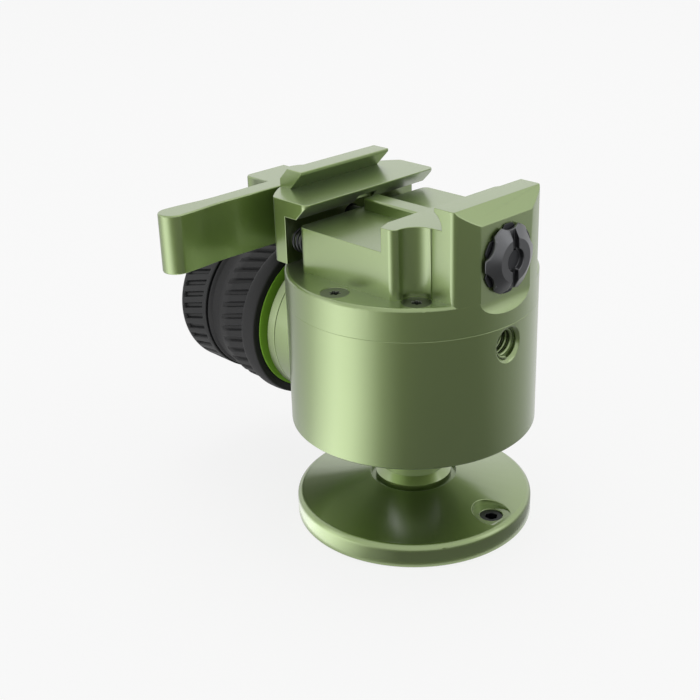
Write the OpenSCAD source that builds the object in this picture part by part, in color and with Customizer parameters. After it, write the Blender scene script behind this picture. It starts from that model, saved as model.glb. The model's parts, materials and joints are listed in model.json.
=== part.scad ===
// Ball head: a ball on a low conical foot, held in a cylindrical housing with a
// large locking knob, under a two-width lever clamp with a tension nut.
// Z is the axis of the foot and the housing, X the clamping direction,
// Y the direction of the clamp grooves. The foot stands on Z = 0.

/* [Foot] */
// Outside diameter of the foot
foot_d = 53.4; // [48:0.1:60]
// Height of the foot at its rim
foot_rim_h = 5.5; // [4.5:0.1:7]
// Height of the foot at the neck
foot_boss_h = 9; // [8:0.1:10]
// Rounding of the upper rim edge
foot_edge = 1.5; // [0.5:0.1:2]
// Chamfer of the lower rim edge
foot_chamfer = 0.4; // [0.2:0.1:1]
// Diameter of the groove around the neck
ring_d = 19.4; // [18:0.1:24]
// Depth of the groove around the neck
ring_depth = 0.9; // [0.5:0.1:2]
// Radius at which the set screw sits
set_screw_place = 22; // [17:0.1:23]
// Thread diameter of the set screw
set_screw_d = 5; // [3:0.1:6]
// Diameter of the set screw's counterbore
set_bore_d = 8.4; // [7:0.1:9]
// Across the flats of the set screw's socket
set_socket = 2.5; // [1.5:0.1:3]

/* [Neck] */
// Diameter of the neck
neck_d = 14.5; // [12:0.1:15.5]
// Diameter of the flare at the neck's foot
flare_d = 17.2; // [16.2:0.1:18.4]
// Height of the cylindrical part of the flare
flare_h = 0.7; // [0.3:0.1:1.5]
// Height of the cone of the flare
flare_cone_h = 1.6; // [0.5:0.1:3]
// Diameter of the stem inside the foot
spigot_d = 13.2; // [11.5:0.1:14]
// Major diameter of the tripod thread
tripod_thread_d = 9.525; // [6.35:0.005:9.525]
// Depth of the tripod thread
tripod_thread_depth = 10.5; // [6:0.1:14]
// Diameter of the pin inside the ball
ball_pin_d = 10; // [6:0.1:11]

/* [Ball and seats] */
// Diameter of the ball
ball_d = 30; // [28:0.1:30]
// Height of the ball's centre
ball_z = 38.2; // [36:0.1:42]
// Radial play between ball and seats
seat_play = 0.05; // [0.02:0.01:0.1]
// Wall of both seats around the ball
seat_wall = 4.2; // [3.4:0.1:4.4]
// Clearance between the seats and the inside of the housing
seat_gap = 0.3; // [0.1:0.05:0.6]
// Half height of the band left open between the seats
band_half = 5.65; // [5.5:0.05:7]
// Half height down to the lower seat's lower face
lower_reach = 9.4; // [8.6:0.1:9.6]
// Half height up to the upper seat's upper face
upper_reach = 12.4; // [9:0.1:12.6]
// Opening of the upper seat
upper_hole_d = 17.6; // [15:0.1:19]
// Thickness of the spring washer
washer_t = 0.8; // [0.4:0.1:1]
// Height of the spring washer's cone
washer_dish = 0.6; // [0.2:0.1:0.8]

/* [Housing] */
// Outside diameter of the housing and the clamp platform
housing_d = 54; // [53:0.1:58]
// Height of the housing
housing_h = 28.6; // [28:0.1:30]
// Chamfer of the lower edge
housing_edge = 0.5; // [0.2:0.1:1]
// Diameter of the opening for the neck at its top
throat_d = 24.4; // [24:0.1:28]
// Diameter of the opening for the neck at its mouth
mouth_d = 29; // [27:0.1:36]
// Major diameter of the accessory thread
accessory_d = 6.35; // [5:0.05:8]
// Height of the accessory thread above the ball's centre
accessory_rise = 10; // [7:0.1:10]
// Chamfer of the accessory thread's mouth
accessory_chamfer = 0.4; // [0.1:0.1:0.8]
// Wall left behind the accessory thread
accessory_wall = 0.9; // [0.5:0.1:2]
// Diameter of the boss that carries the knob
boss_d = 33.2; // [28:0.1:34]
// Reach of the boss on the housing
boss_reach = 27.15; // [27:0.05:27.5]
// Thickness of the ring on the boss
boss_ring_t = 2.35; // [1:0.05:2.5]

/* [Clamp base] */
// Thickness of the platform
platform_t = 7; // [6:0.1:9]
// Rounding of the platform's upper edge
platform_edge = 0.8; // [0.2:0.1:1]
// Half length of the clamp along the groove
clamp_half = 19.25; // [18:0.05:20]
// Half length of the upper fixed jaw
wall_half = 13; // [11:0.1:14]
// Left face of the block
block_left = 13.87; // [13:0.01:14.5]
// Height of the groove floor above the platform
floor_rise = 9.6; // [9:0.1:11]
// Height of the ledge above the groove floor
ledge_rise = 5; // [4:0.1:6]
// Place of the ledge's face
ledge_x = 9; // [7:0.1:11]
// Depth of the notch along the ledge's face
ledge_notch = 0.7; // [0.3:0.1:1]
// Height of the notch along the ledge's face
ledge_notch_h = 2.6; // [1:0.1:2.8]
// Width of the lead-in cut at the ledge's ends
lead_x = 1.3; // [0.8:0.1:2]
// Length of the lead-in cut at the ledge's ends
lead_y = 3.2; // [2:0.1:4]
// Height of the fixed jaw above the ledge
wall_rise = 4.15; // [3:0.05:5]
// Inner edge of the fixed jaw
wall_nose_x = 18.5; // [17.5:0.1:19.5]
// Depth of the fixed jaw's undercut
wall_under = 2; // [1:0.1:3]
// Height of the square edge of the fixed jaw
wall_land = 0.85; // [0.3:0.05:1.5]
// Outer edge of the fixed jaw's top
wall_top_x = 23.55; // [22:0.05:25]
// Height of the slope between the fixed jaw's top and the milled flat
wall_slope_h = 3.55; // [2.5:0.05:4.15]
// Place of the milled flat under the nut
flat_x = 25.9; // [25.6:0.01:26.2]
// Height of the milled flat above the platform
flat_bottom_rise = -0.5; // [-1:0.1:0.5]
// Radius of the milled flat's lower end
scoop_r = 5.9; // [4:0.1:8]
// Rounding of the upright corners
corner_r = 1.6; // [0.5:0.1:2.5]
// Half width of the cross rib
rib_half = 2.25; // [1.8:0.05:2.4]
// Height of the cross rib
rib_h = 2.6; // [1:0.1:3]
// Left end of the cross rib
rib_left = 11.7; // [9:0.1:12]
// Rounding of the cross rib
rib_edge = 0.5; // [0.2:0.1:1]

/* [Screws] */
// Radius at which the clamp screws sit
screw_place = 23.25; // [23:0.05:23.6]
// Angle of the front screws from the X axis
screw_angle = 43.8; // [40:0.1:48]
// Angle of the rear screws from the X axis
rear_screw_angle = 87.5; // [80:0.1:92]
// Diameter of the screw heads
screw_head_d = 5.9; // [5:0.1:5.9]
// Diameter of the screw shanks
screw_d = 2.6; // [2:0.1:3]
// Height of the screw heads
screw_head_h = 1.7; // [1.2:0.1:2.2]
// Length of the screws
screw_length = 14; // [10:0.1:20]
// Radius of the clearance cut around the front screws
access_r = 4.15; // [3.4:0.05:4.4]

/* [Knob] */
// Diameter of the knob's shaft
shaft_d = 8; // [6:0.1:8]
// Diameter of the brake shoe
shoe_d = 10; // [9:0.1:10.4]
// Outer end of the brake shoe
shoe_end = 22.2; // [20:0.1:22.4]
// Clearance between shoe and ball
shoe_play = 0.3; // [0.2:0.05:0.4]
// Thickness of the thrust washer
thrust_t = 0.5; // [0.3:0.1:0.8]
// Thread pitch of the knob's shaft
shaft_pitch = 1.25; // [1:0.05:1.5]
// Turns that the knob can be loosened
knob_turns = 1.25; // [0.5:0.25:1.25]
// Diameter of the coloured collar
collar_d = 34; // [30:0.1:36]
// Thickness of the coloured collar
collar_t = 1.2; // [0.6:0.1:2]
// Gap between the boss and the knob's face
knob_gap = 2.3; // [1.8:0.05:3]
// Diameter of the knob's core
core_d = 25; // [20:0.1:27]
// Diameter of the core's hub inside the collar
hub_d = 16; // [12:0.1:18]
// Largest diameter of the grip
grip_d = 38.2; // [36:0.1:40]
// Diameter of the ribbed band of the grip
grip_rib_d = 36.8; // [35:0.1:37.2]
// Diameter of the grip's waist
grip_waist_d = 34; // [32:0.1:35]
// Diameter of the grip's face around the collar
grip_face_d = 37.8; // [36.2:0.1:38]
// Chamfer of the grip's face
grip_edge = 0.4; // [0.2:0.1:0.8]
// Length of the grip
grip_w = 18.6; // [16:0.1:22]
// Gap between grip and dial
dial_gap = 0.4; // [0.2:0.1:1]
// Diameter of the dial
dial_d = 35.8; // [33:0.1:37]
// Length of the dial
dial_w = 9.6; // [8:0.1:12]
// Rounding of the dial's end
dial_edge = 1.2; // [0.3:0.1:2]
// Plain band before the dial's grooves
dial_land = 1.4; // [0.5:0.1:3]
// Number of grooves around the knob
knob_ribs = 40; // [24:2:48]
// Radius of the grooves around the knob
knob_groove_r = 0.75; // [0.4:0.05:0.8]
// Depth of the grooves around the knob
knob_groove_depth = 0.4; // [0.2:0.05:0.5]

/* [Tension nut] */
// Diameter of the tie rod
rod_d = 3.8; // [3:0.1:4.2]
// Height of the tie rod above the platform
rod_rise = 7; // [6.4:0.1:7.2]
// Diameter over the nut's lobes
nut_d = 14.4; // [13:0.1:16]
// Diameter between the nut's lobes
nut_valley_d = 12.2; // [11:0.1:12.8]
// Number of lobes
nut_lobes = 6; // [5:1:8]
// Radius of the hollows between the lobes
nut_hollow_r = 5; // [3:0.1:6]
// Diameter of the nut's front face
nut_face_d = 8.75; // [8:0.05:10]
// Height of the nut's edge
nut_edge_t = 0.35; // [0.3:0.05:1]
// Height of the nut's cone
nut_cone_t = 1.6; // [1.2:0.1:3]
// Thickness of the lobed washer under the nut
nut_washer_t = 0.35; // [0.3:0.05:1]
// Diameter of the recess in the nut's face
nut_recess_d = 4.84; // [4.6:0.02:6]
// Depth of the recess in the nut's face
nut_recess_depth = 0.85; // [0.3:0.05:1.2]
// Depth of the coin slot
nut_slot_depth = 1.2; // [0.6:0.05:1.4]
// Width of the coin slot
nut_slot = 1.77; // [1:0.01:2]
// Diameter of the nut's sleeve
sleeve_d = 6; // [5.5:0.1:7]
// Length of the nut's sleeve
sleeve_length = 6; // [3:0.1:7]

/* [Moving jaw] */
// Travel of the jaw outward from the flush place
jaw_out = 2.6; // [2.4:0.1:2.8]
// Gap between web and block
web_gap = 4.1; // [4.1:0.05:4.5]
// Clearance under the web
web_lift = 0.3; // [0.2:0.1:0.5]
// Clearance between groove floor and jaw
floor_lift = 1.2; // [0.5:0.1:1.6]
// Left end of the jaw's flat underside
under_left = 14.5; // [13:0.1:15.5]
// Edge of the lower jaw
nose_x = 10.99; // [10.8:0.01:11.3]
// Edge of the upper jaw
lip_nose_x = 19.27; // [18.8:0.01:20]
// Half length of the upper jaw
lip_half = 13.1; // [11:0.1:14]
// Depth of the upper jaw's undercut
lip_under = 3.93; // [3:0.01:4]
// Square edge of the upper jaw
lip_land = 0.65; // [0.1:0.05:1]
// Outer face of the upper jaw
lip_left = 26.35; // [26:0.01:27]
// Width of the bevel on the upper jaw
lip_bevel = 2.5; // [1:0.1:3]
// Place of the flat that the lever presses on
jaw_flat_x = 27.3; // [27:0.01:27.6]
// Clearance around the cross rib
rib_play = 0.4; // [0.2:0.1:0.6]
// Diameter of the guide rods
guide_d = 3.6; // [3:0.1:3.6]
// Place of the guide rods along the groove
guide_y = 15.4; // [15:0.1:15.6]
// Height of the guide rods above the platform
guide_rise = 5; // [4.4:0.1:5.2]
// Length of the guide rods in the block
guide_reach = 11.8; // [8:0.1:12]
// Diameter of the spring bores
spring_bore_d = 6; // [5.8:0.1:6.4]
// Depth of the spring bores
spring_bore_depth = 8.4; // [8:0.1:10]
// Middle diameter of the springs
spring_d = 4.8; // [4.7:0.1:4.9]
// Wire of the springs
spring_wire = 0.6; // [0.4:0.05:0.6]
// Turns of the springs
spring_turns = 7; // [5:1:7]
// Closing travel of the jaw
jaw_close = 3.5; // [2.5:0.1:3.5]

/* [Lever] */
// Place of the lever's pivot
pivot_x = 34; // [33.8:0.1:34.2]
// Diameter of the pivot pin
pivot_d = 5; // [4.6:0.1:5.4]
// Radius of the cam
cam_r = 5.5; // [5.3:0.05:5.6]
// Throw of the cam's centre
cam_throw = 0.95; // [0.6:0.05:1]
// Direction of the cam's centre below the X axis
cam_angle = 25; // [15:1:30]
// Height of the lever's underside above the platform
lever_lift = 1.2; // [0.8:0.1:1.6]
// Height of the lever
lever_h = 12.8; // [11:0.1:13]
// Outer face of the lever's root
root_left = 40.6; // [38:0.1:42]
// End of the lever's root
root_end = 11.5; // [9:0.1:13]
// Rounding of the root's corner
root_r = 1.7; // [0.5:0.1:2.5]
// Inner face of the arm
arm_in = 28; // [27.8:0.1:28.4]
// Thickness of the arm
arm_t = 4.9; // [3:0.1:5.2]
// Thickness of the arm's bulb
bulb_t = 6.2; // [5.2:0.1:7]
// Tip of the arm
arm_tip = 41.7; // [34:0.1:46]
// Opening angle of the lever
lever_open = 130; // [90:1:130]
// Skin left over the pivot pin
pin_cover = 1.2; // [0.6:0.1:2]

/* [Hidden] */
$fn = 96;
// Running and locating clearances
fit = 0.05;
slip = 0.1;
over = 1;
// Colours of the views
green = [0.36, 0.45, 0.24];
black = [0.1, 0.1, 0.1];
dark = [0.16, 0.16, 0.17];
steel = [0.7, 0.7, 0.72];
brass = [0.75, 0.62, 0.3];
plastic = [0.85, 0.84, 0.78];
// Heights along the axis
foot_r = foot_d / 2;
ball_r = ball_d / 2;
housing_r = housing_d / 2;
housing_bottom = ball_z - housing_h / 2;
housing_top = ball_z + housing_h / 2;
platform_top = housing_top + platform_t;
floor_z = platform_top + floor_rise;
ledge_z = floor_z + ledge_rise;
wall_z = ledge_z + wall_rise;
rod_z = platform_top + rod_rise;
guide_z = platform_top + guide_rise;
flat_bottom_z = platform_top + flat_bottom_rise;
lever_z = platform_top + lever_lift;
// Stem
flare_z = foot_boss_h - ring_depth;
flare_top = foot_boss_h + flare_h;
neck_z = flare_top + flare_cone_h;
ball_flat_z = ball_z - sqrt(ball_r * ball_r - neck_d * neck_d / 4);
neck_top = ball_flat_z - slip * 2;
pin_top = ball_z + ball_r * 0.4;
// Set screw
set_angle = 4;
set_drop = 0.3;
set_lift = 0.5;
set_socket_depth = 2.6;
// Seats
seat_d = ball_d + seat_wall * 2;
cavity_d = seat_d + seat_gap * 2;
lower_z = ball_z - lower_reach;
lower_top = ball_z - band_half;
upper_z = ball_z + band_half;
upper_top = ball_z + upper_reach;
lower_hole_d = 2 * sqrt(pow(ball_r + seat_play, 2) - lower_reach * lower_reach);
washer_z = upper_top + slip;
washer_r = seat_d / 2 - slip * 4;
washer_hole_r = washer_r * 0.6;
crown_r = sqrt(max(0, ball_r * ball_r - housing_h * housing_h / 4));
recess_r = max(upper_hole_d / 2, crown_r) + slip * 6;
recess_top = ball_z + ball_r + slip * 8;
// Housing
seat_floor_z = lower_z - slip;
shoe_bore_r = shoe_d / 2 + slip;
knob_lift = knob_turns * shaft_pitch;
shaft_tip = shoe_end + slip / 2 + thrust_t + slip / 2;
shoe_bore_end = shaft_tip + knob_lift + slip;
shaft_bore_r = shaft_d / 2 + fit;
accessory_z = ball_z + accessory_rise;
accessory_r = accessory_d / 2;
accessory_end = cavity_d / 2 + accessory_wall;
screw_hole_depth = 9;
// Clamp base
wall_inset = 0.03;
access_step = 0.25;
wall_corner_y = wall_half - corner_r;
wall_r = housing_r - wall_inset;
wall_corner_x = sqrt(pow(wall_r - corner_r, 2) - wall_corner_y * wall_corner_y);
wedge_share = 1.4;
access_share = 0.7218;
access_x = access_share * (screw_place + corner_r);
access_y = wall_half + access_r + access_step;
round_y = clamp_half - corner_r;
round_x = access_x - sqrt(pow(access_r + corner_r, 2) - pow(access_y - round_y, 2));
wall_curve_h = wall_rise - wall_land;
wall_curve_r = (wall_under * wall_under + wall_curve_h * wall_curve_h) / (2 * wall_under);
rod_bore_r = rod_d / 2 + slip * 3;
sleeve_bore_r = sleeve_d / 2 + slip * 3;
sleeve_bore_depth = sleeve_length + slip * 5;
guide_bore_r = guide_d / 2 + slip;
guide_bore_depth = guide_reach + jaw_close + slip * 4;
// Screws
shank_play = slip;
lobe_r = screw_d * 0.12;
lobe_place = screw_d * 0.36;
lobe_core_r = screw_d * 0.33;
torx_depth = screw_head_h * 0.65;
screw_drop = slip;
screws = [[screw_place, screw_angle], [screw_place, -screw_angle],
    [screw_place, rear_screw_angle], [screw_place, -rear_screw_angle]];
// Knob, measured outward from the axis of the ball
ring_a = boss_reach + slip;
ring_end = ring_a + boss_ring_t;
hub_a = ring_end + slip * 2;
grip_a = ring_end + knob_gap;
collar_a = grip_a - slip;
collar_end = grip_a + collar_t;
grip_end = grip_a + grip_w;
dial_a = grip_end + dial_gap;
dial_end = dial_a + dial_w;
core_end = grip_end - slip;
shaft_end = dial_a + dial_w * 0.6;
dial_bore_r = shaft_d / 2 + fit;
dial_recess_r = shaft_d * 0.85;
dial_recess_a = shaft_end + slip / 2;
dial_screw_r = shaft_d * 0.72;
dial_screw_t = dial_w * 0.2;
dial_shank_r = shaft_d * 0.2;
dial_shank_length = dial_w * 0.8;
dial_socket = shaft_d * 0.4;
grip_shares = [[0.06, 0.6], [0.12, 1], [0.18, 1], [0.225, 0.4]];
rib_start_share = 0.245;
rib_end_share = 0.58;
shoulder_share = 0.68;
shoulder_rise_share = 0.7;
waist_start_share = 0.84;
waist_end_share = 0.94;
grip_end_d = grip_waist_d + slip * 4;
// Nut, from the milled flat outward
washer_x = flat_x + fit;
nut_x = washer_x + nut_washer_t + fit;
nut_cone_x = nut_x + nut_edge_t;
nut_face_x = nut_cone_x + nut_cone_t;
nut_hollow_place = nut_valley_d / 2 + nut_hollow_r;
nut_phase = 60;
rod_tip = nut_face_x - nut_recess_depth;
rod_nut_r = rod_d / 2 + fit;
// Moving jaw
web_right = block_left + web_gap;
web_z = platform_top + web_lift;
under_z = floor_z + floor_lift;
tier_z = ledge_z - slip;
lip_tip_x = lip_nose_x + lip_under;
lip_top = wall_z;
lip_nose_z = lip_top - lip_land;
lip_tip_z = lip_nose_z - lip_under;
jaw_corner_y = clamp_half - corner_r;
jaw_corner_x = sqrt(pow(housing_r - corner_r, 2) - jaw_corner_y * jaw_corner_y);
notch_left = rib_left + jaw_close + rib_play;
guide_end = web_right + (jaw_flat_x - web_right) * 0.62;
guide_tip = block_left - guide_reach;
spring_start = web_right - slip;
spring_end = block_left - spring_bore_depth + jaw_close + slip * 2;
spring_length = spring_start - spring_end - spring_wire;
spring_pitch = spring_length / spring_turns;
spring_steps = 8;
spring_sides = 6;
// Lever
cam_x = pivot_x - cam_throw * cos(cam_angle);
cam_y = -cam_throw * sin(cam_angle);
arm_out = arm_in + arm_t;
bulb_in = arm_in - (bulb_t - arm_t) * 0.4;
bulb_r = bulb_t / 2;
bulb_x = bulb_in + bulb_r;
bulb_y = arm_tip - bulb_r;
waist_y = root_end + (bulb_y - root_end) * 0.55;
waist_in = arm_in + slip * 3;
waist_out = arm_out - slip * 2;
root_top = slip * 3;
arm_shares = [for (i = [0:8]) i / 8];
lever_top = lever_z + lever_h;
pin_r = pivot_d / 2;
pin_z = lever_z + slip * 4;
pin_end = lever_top - pin_cover - slip;
pin_bore_r = pin_r + fit;
rod_reach = sqrt(max(0, pin_r * pin_r - rod_d * rod_d / 4)) - fit;
slot_half = rod_d / 2 + slip * 4;
slot_reach = cam_r * 2.6;

module disc(r, z0, z1) {
    translate([0, 0, z0])
        cylinder(r = r, h = z1 - z0);
}

// A cylinder along X, from one place to another on the side of the knob
module outward(r, a0, a1) {
    translate([-a0, 0, 0])
        rotate([0, -90, 0])
            cylinder(r = r, h = a1 - a0);
}

// A cylinder along X on the side of the nut
module forward(r, x0, x1) {
    translate([x0, 0, 0])
        rotate([0, 90, 0])
            cylinder(r = r, h = x1 - x0);
}

// Turned body along X on the side of the knob, from radius and place
module turned_outward() {
    translate([0, 0, ball_z])
        rotate([0, -90, 0])
            rotate_extrude()
                children();
}

// Body along the groove from an outline in X and Z
module along_groove(half) {
    translate([0, half, 0])
        rotate([90, 0, 0])
            linear_extrude(height = 2 * half)
                children();
}

module hex_socket(flats, depth) {
    cylinder(d = flats / cos(30), h = depth, $fn = 6);
}

module at_set_screw() {
    rotate([0, 0, set_angle])
        translate([set_screw_place, 0, 0])
            children();
}

module at_screws() {
    for (place = screws)
        rotate([0, 0, place[1]])
            translate([place[0], 0, 0])
                children();
}

module foot_plate() {
    color(green)
        difference() {
            rotate_extrude()
                union() {
                    polygon([
                        [0, 0],
                        [foot_r - foot_chamfer, 0],
                        [foot_r, foot_chamfer],
                        [foot_r, foot_rim_h - foot_edge],
                        [foot_r - foot_edge, foot_rim_h - foot_edge],
                        [foot_r - foot_edge, foot_rim_h],
                        [ring_d / 2, foot_boss_h],
                        [0, foot_boss_h]
                    ]);
                    intersection() {
                        translate([foot_r - foot_edge, foot_rim_h - foot_edge])
                            circle(r = foot_edge);
                        translate([foot_r - foot_edge, foot_rim_h - foot_edge])
                            square([foot_edge, foot_edge]);
                    }
                }
            disc(spigot_d / 2, -over, foot_boss_h + over);
            disc(ring_d / 2, flare_z, foot_boss_h + over);
            at_set_screw()
                disc(set_screw_d / 2, -over, foot_boss_h);
            at_set_screw()
                disc(set_bore_d / 2, foot_rim_h, foot_boss_h + over);
        }
}

module stem() {
    color(green)
        rotate_extrude()
            polygon([
                [tripod_thread_d / 2, 0],
                [spigot_d / 2, 0],
                [spigot_d / 2, flare_z],
                [flare_d / 2, flare_z],
                [flare_d / 2, flare_top],
                [neck_d / 2, neck_z],
                [neck_d / 2, neck_top],
                [ball_pin_d / 2, neck_top],
                [ball_pin_d / 2, pin_top],
                [0, pin_top],
                [0, tripod_thread_depth],
                [tripod_thread_d / 2, tripod_thread_depth]
            ]);
}

module foot_set_screw() {
    color(dark)
        at_set_screw()
            difference() {
                disc(set_screw_d / 2, set_lift, foot_rim_h - set_drop);
                translate([0, 0, foot_rim_h - set_drop - set_socket_depth])
                    hex_socket(set_socket, set_socket_depth + over);
            }
}

module ball() {
    color(steel)
        difference() {
            translate([0, 0, ball_z])
                sphere(r = ball_r);
            disc(ball_r, ball_z - ball_r - over, ball_flat_z);
            disc(ball_pin_d / 2 + fit, ball_flat_z - over, pin_top + slip * 2);
        }
}

module lower_seat() {
    color(plastic)
        difference() {
            disc(seat_d / 2, lower_z, lower_top);
            translate([0, 0, ball_z])
                sphere(r = ball_r + seat_play);
            disc(lower_hole_d / 2, lower_z - over, lower_top);
        }
}

module upper_seat() {
    color(plastic)
        difference() {
            disc(seat_d / 2, upper_z, upper_top);
            translate([0, 0, ball_z])
                sphere(r = ball_r + seat_play);
            disc(upper_hole_d / 2, upper_z, upper_top + over);
        }
}

module spring_washer() {
    color(steel)
        rotate_extrude()
            polygon([
                [washer_hole_r, washer_z + washer_dish],
                [washer_r, washer_z],
                [washer_r, washer_z + washer_t],
                [washer_hole_r, washer_z + washer_dish + washer_t]
            ]);
}

module housing() {
    color(green)
        difference() {
            union() {
                rotate_extrude()
                    polygon([
                        [0, housing_bottom],
                        [housing_r - housing_edge, housing_bottom],
                        [housing_r, housing_bottom + housing_edge],
                        [housing_r, housing_top],
                        [0, housing_top]
                    ]);
                intersection() {
                    translate([0, 0, ball_z])
                        outward(boss_d / 2, cavity_d / 2, boss_reach);
                    disc(housing_d, housing_bottom, housing_top);
                }
            }
            disc(cavity_d / 2, seat_floor_z, housing_top + over);
            rotate_extrude()
                polygon([
                    [0, housing_bottom - over],
                    [mouth_d / 2, housing_bottom - over],
                    [mouth_d / 2, housing_bottom],
                    [throat_d / 2, seat_floor_z],
                    [throat_d / 2, seat_floor_z + over],
                    [0, seat_floor_z + over]
                ]);
            translate([0, 0, ball_z]) {
                outward(shoe_bore_r, cavity_d / 2 - over, shoe_bore_end);
                outward(shaft_bore_r, shoe_bore_end - over, boss_reach + over);
            }
            translate([0, 0, accessory_z]) {
                forward(accessory_r, accessory_end, housing_r + over);
                translate([housing_r - accessory_chamfer * 2, 0, 0])
                    rotate([0, 90, 0])
                        cylinder(
                            r1 = accessory_r,
                            r2 = accessory_r + accessory_chamfer * 2,
                            h = accessory_chamfer * 2 + fit
                        );
            }
            at_screws()
                disc(screw_d / 2, housing_top - screw_hole_depth, housing_top + over);
        }
}

module boss_ring() {
    color(green)
        translate([0, 0, ball_z])
            difference() {
                outward(boss_d / 2, ring_a, ring_end);
                outward(shaft_bore_r, ring_a - over, ring_end + over);
                translate([-ring_end - over, -boss_d, -boss_d - housing_h / 2])
                    cube([boss_ring_t + over * 2, boss_d * 2, boss_d]);
            }
}

// Outline of the block and the ledge, seen from above
module block_plan() {
    difference() {
        union() {
            translate([-block_left, -round_y])
                square([access_x + block_left, round_y * 2]);
            translate([corner_r - block_left, -clamp_half])
                square([round_x + block_left - corner_r, clamp_half * 2]);
        }
        for (side = [-1, 1])
            translate([access_x, side * access_y])
                circle(r = access_r);
    }
    for (side = [-1, 1]) {
        translate([corner_r - block_left, side * round_y])
            circle(r = corner_r);
        translate([round_x, side * round_y])
            circle(r = corner_r);
    }
}

// Outline of the fixed jaw, seen from above
module wall_plan() {
    intersection() {
        circle(r = wall_r);
        polygon([
            [0, 0],
            [wall_corner_x * wedge_share, wall_corner_y * wedge_share],
            [wall_corner_x * wedge_share, -wall_corner_y * wedge_share]
        ]);
    }
    translate([0, -wall_half])
        square([wall_corner_x, wall_half * 2]);
    for (side = [-1, 1])
        translate([wall_corner_x, side * wall_corner_y])
            circle(r = corner_r);
}

module platform() {
    rotate_extrude()
        union() {
            translate([0, housing_top])
                square([housing_r, platform_t - platform_edge]);
            translate([0, housing_top])
                square([housing_r - platform_edge, platform_t]);
            translate([housing_r - platform_edge, platform_top - platform_edge])
                circle(r = platform_edge);
        }
}

// Outline of the cross rib, seen along X
module rib_outline() {
    translate([-rib_half, floor_z - over])
        square([rib_half * 2, rib_h + over - rib_edge]);
    translate([rib_edge - rib_half, floor_z - over])
        square([(rib_half - rib_edge) * 2, rib_h + over]);
    for (side = [-1, 1])
        translate([side * (rib_half - rib_edge), floor_z + rib_h - rib_edge])
            circle(r = rib_edge);
}

// The narrow groove with its cross rib left standing
module narrow_groove() {
    translate([-block_left - over, 0, 0])
        rotate([90, 0, 90])
            linear_extrude(height = block_left + over + ledge_x)
                difference() {
                    translate([-clamp_half - over, floor_z])
                        square([clamp_half * 2 + over * 2, wall_z - floor_z + over]);
                    rib_outline();
                }
    translate([-block_left - over, -rib_half - slip, floor_z])
        cube([block_left + over - rib_left, rib_half * 2 + slip * 2, rib_h + over]);
    translate([0, 0, floor_z])
        linear_extrude(height = wall_z - floor_z + over)
            for (side = [-1, 1])
                polygon([
                    [ledge_x - lead_x / 2, side * (clamp_half - lead_y * 1.5)],
                    [ledge_x + lead_x * 1.5, side * (clamp_half + lead_y / 2)],
                    [ledge_x - lead_x / 2, side * (clamp_half + lead_y / 2)]
                ]);
}

// The wide groove over the ledge, with the fixed jaw's undercut
module wide_groove() {
    along_groove(clamp_half + over)
        union() {
            translate([-block_left - over, ledge_z])
                square([block_left + over + wall_nose_x, wall_rise + over]);
            intersection() {
                translate([wall_nose_x + wall_under - wall_curve_r, ledge_z])
                    circle(r = wall_curve_r);
                translate([-block_left - over, ledge_z])
                    square([block_left + over + housing_r, wall_rise + over]);
            }
        }
}

module clamp_base() {
    color(green)
        difference() {
            union() {
                platform();
                translate([0, 0, housing_top + over])
                    linear_extrude(height = wall_z - housing_top - over)
                        union() {
                            block_plan();
                            wall_plan();
                        }
            }
            wide_groove();
            narrow_groove();
            along_groove(clamp_half + over)
                polygon([
                    [ledge_x - over, ledge_z - ledge_notch_h * 1.4],
                    [ledge_x, ledge_z - ledge_notch_h * 1.4],
                    [ledge_x + ledge_notch, ledge_z - ledge_notch_h * 0.85],
                    [ledge_x, ledge_z - ledge_notch_h * 0.4],
                    [ledge_x - over, ledge_z - ledge_notch_h * 0.4]
                ]);
            along_groove(wall_half + over)
                polygon([
                    [wall_top_x, wall_z],
                    [flat_x + flat_x - wall_top_x, wall_z - wall_slope_h * 2],
                    [housing_r + over * 2, wall_z + over],
                    [wall_top_x - over, wall_z + over]
                ]);
            along_groove(wall_half + over)
                union() {
                    translate([flat_x, flat_bottom_z])
                        square([housing_r, wall_z]);
                    translate([flat_x + scoop_r, flat_bottom_z])
                        circle(r = scoop_r);
                }
            translate([0, 0, rod_z]) {
                forward(rod_bore_r, -block_left - over, housing_r);
                forward(sleeve_bore_r, flat_x - sleeve_bore_depth, housing_r);
            }
            for (side = [-1, 1])
                translate([0, side * guide_y, guide_z]) {
                    forward(guide_bore_r, -block_left - over, guide_bore_depth - block_left);
                    forward(spring_bore_d / 2, -block_left - over, spring_bore_depth - block_left);
                }
            disc(recess_r, housing_top - over, recess_top);
            at_screws() {
                disc(screw_d / 2 + shank_play, housing_top - over, platform_top - screw_head_h + fit);
                translate([0, 0, platform_top - screw_head_h])
                    cylinder(
                        r1 = screw_d / 2 + shank_play,
                        r2 = screw_head_d / 2 + shank_play,
                        h = screw_head_h
                    );
                disc(screw_head_d / 2 + shank_play, platform_top - fit, platform_top + over);
            }
        }
}

module clamp_screws() {
    color(black)
        at_screws()
            difference() {
                union() {
                    translate([0, 0, platform_top - screw_drop - screw_head_h])
                        cylinder(r1 = screw_d / 2, r2 = screw_head_d / 2, h = screw_head_h);
                    disc(screw_d / 2, platform_top - screw_length, platform_top - screw_head_h);
                }
                translate([0, 0, platform_top - torx_depth])
                    linear_extrude(height = torx_depth + over)
                        union() {
                            circle(r = lobe_core_r);
                            for (turn = [0:60:300])
                                rotate(turn)
                                    translate([lobe_place, 0])
                                        circle(r = lobe_r);
                        }
            }
}

module brake_shoe() {
    color(brass)
        translate([0, 0, ball_z])
            difference() {
                outward(shoe_d / 2, ball_r * 0.93, shoe_end);
                sphere(r = ball_r + shoe_play);
            }
}

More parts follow.
